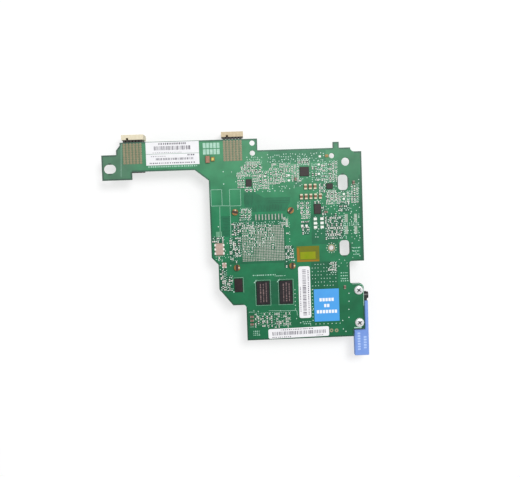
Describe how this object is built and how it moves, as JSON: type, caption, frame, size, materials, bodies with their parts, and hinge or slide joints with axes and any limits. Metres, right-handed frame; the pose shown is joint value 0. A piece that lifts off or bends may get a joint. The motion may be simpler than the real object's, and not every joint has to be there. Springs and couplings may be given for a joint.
{
  "type": "mezzanine network card",
  "caption": "Flat L-shaped network card with midplane connectors on its arm, a heat sink and mezzanine connector below, and a hinged blue release lever at one corner.",
  "frame": {"origin": "on the axis of the round locating hole near the upper right corner, at the circuit board's underside", "axes": "+X along the board's long way, away from the oval locating hole; +Y towards the midplane connectors; +Z out of the label side"},
  "size_m": [0.1606, 0.1407, 0.0163],
  "materials": {
    "solder_mask": "semi-gloss solder mask on glass-fibre board",
    "connector_plastic": "matte glass-filled plastic",
    "wafer_plastic": "matte moulding",
    "contact_metal": "plated copper alloy",
    "substrate": "matte laminate",
    "plated_steel": "bright plated",
    "soft_pad": "soft matte",
    "aluminium": "extruded satin",
    "brass": "turned bright",
    "black_plastic": "fine matte moulding",
    "chip_black": "matte epoxy moulding",
    "can_metal": "satin lid on a ceramic base",
    "ceramic_grey": "matte ceramic with bright ends",
    "ceramic_brown": "matte ceramic with bright ends",
    "amber_plastic": "clear amber moulding",
    "red_moulding": "matte moulding",
    "paper_white": "printed paper",
    "label_blue": "printed film",
    "film_yellow": "thin tinted film",
    "ferrite": "matte pressed powder",
    "black_metal": "black coated steel",
    "lever_blue": "satin moulding"
  },
  "bodies": {
    "card": {"circuit_board": "solder_mask", "left_connector_housing": "connector_plastic", "left_connector_wafers": "wafer_plastic", "left_connector_pins": "contact_metal", "right_connector_housing": "connector_plastic", "right_connector_wafers": "wafer_plastic", "right_connector_pins": "contact_metal", "controller_chip": "substrate", "controller_lid": "plated_steel", "thermal_pad": "soft_pad", "heat_sink": "aluminium", "push_pins": "brass", "push_pin_springs": "plated_steel", "mezzanine_connector": "black_plastic", "memory_chip_1": "chip_black", "memory_chip_2": "chip_black", "flash_chip": "chip_black", "regulator_chip": "chip_black", "small_regulator_chip": "chip_black", "power_switch": "chip_black", "logic_chip": "chip_black", "oscillator": "can_metal", "crystal": "can_metal", "bulk_capacitors": "ceramic_grey", "brown_capacitors": "ceramic_brown", "small_resistors": "chip_black", "small_capacitors": "ceramic_grey", "status_light": "amber_plastic", "arm_capacitor": "red_moulding", "arm_light": "amber_plastic", "arm_upper_label": "paper_white", "arm_lower_label": "paper_white", "upright_label": "paper_white", "bottom_label": "paper_white", "press_label": "label_blue", "film_label": "film_yellow", "power_inductors": "ferrite", "lever_bracket": "black_plastic", "bracket_screws": "plated_steel", "pivot_pin": "black_metal"},
    "lever": {"lever_hub": "black_metal", "release_lever": "lever_blue"}
  },
  "joints": [
    {"name": "lever_pivot", "type": "hinge", "parent": "card", "child": "lever", "pos_m": [0.01055, -0.083, -0.003], "axis": [-1, 0, 0], "range_deg": [0, 60]}
  ]
}
